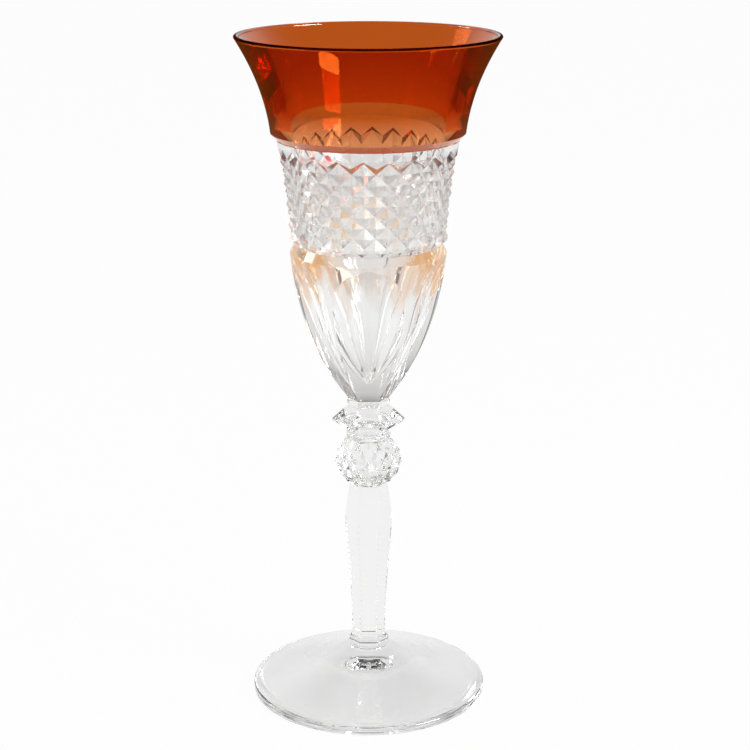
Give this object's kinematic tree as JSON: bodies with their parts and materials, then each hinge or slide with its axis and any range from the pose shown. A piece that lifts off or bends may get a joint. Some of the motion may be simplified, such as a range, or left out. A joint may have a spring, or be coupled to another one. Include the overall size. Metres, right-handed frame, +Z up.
{
  "type": "champagne glass",
  "caption": "Tall stemmed champagne glass: flared amber-cased mouth, diamond-cut band, panelled bowl, hexagonal collar, cut ball knop, notched stem and round foot.",
  "frame": {"origin": "on the table plane, under the middle of the foot", "axes": "+Z up along the axis of the glass; -Y is the side seen in the picture, with +X to its right; one flat of the hexagonal pieces faces -Y"},
  "size_m": [0.076, 0.076, 0.2],
  "materials": {
    "clear_crystal": "polished",
    "amber_glass": "polished"
  },
  "bodies": {
    "root": {"foot": "clear_crystal", "foot_merese": "clear_crystal", "stem": "clear_crystal", "ball_knop": "clear_crystal", "knop_merese": "clear_crystal", "collar": "clear_crystal", "neck_merese": "clear_crystal", "bowl": "clear_crystal", "amber_casing": "amber_glass"}
  },
  "joints": []
}
